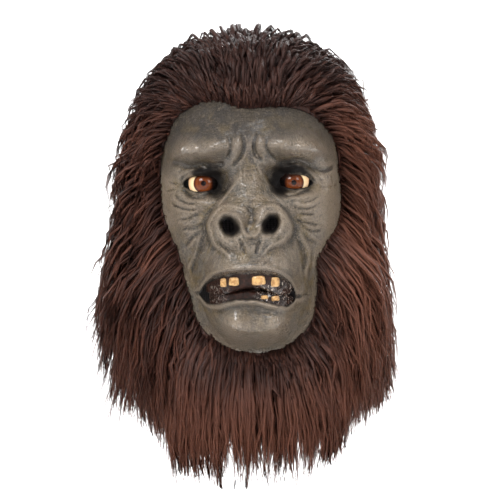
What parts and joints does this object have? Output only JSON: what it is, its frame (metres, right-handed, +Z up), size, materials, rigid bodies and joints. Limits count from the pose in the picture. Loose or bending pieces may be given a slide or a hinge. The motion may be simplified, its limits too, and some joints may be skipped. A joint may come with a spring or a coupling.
{
  "type": "gorilla mask",
  "caption": "Full-head gorilla mask: wrinkled rubber face with open mouth, cast teeth and glass eyes, on a cloth hood under long brown fur.",
  "frame": {"origin": "middle of the inside of the hood's crown, where the head that wears it rests", "axes": "+Z up, -Y out of the face, +X to the right of someone facing the mask"},
  "size_m": [0.2864, 0.2655, 0.4102],
  "materials": {
    "skin": "painted latex, satin, with glossy creases",
    "fur": "long matte dark brown synthetic hair",
    "lining": "dark knitted cloth",
    "eye": "polished, with an amber iris",
    "tooth": "worn yellow-brown, satin",
    "gum": "wet-looking dark red-brown, lumpy"
  },
  "bodies": {
    "root": {"left_crown_panel": "lining", "right_crown_panel": "lining", "left_panel": "lining", "right_panel": "lining", "back_panel": "lining", "face_skin": "skin", "left_eye": "eye", "right_eye": "eye", "upper_gum": "gum", "lower_gum": "gum", "tongue": "gum", "upper_tooth_1": "tooth", "upper_tooth_2": "tooth", "upper_tooth_3": "tooth", "upper_tooth_4": "tooth", "lower_tooth_1": "tooth", "lower_tooth_2": "tooth", "crown_fur": "fur", "left_side_fur": "fur", "right_side_fur": "fur", "back_fur": "fur", "beard_fur": "fur"}
  },
  "joints": []
}
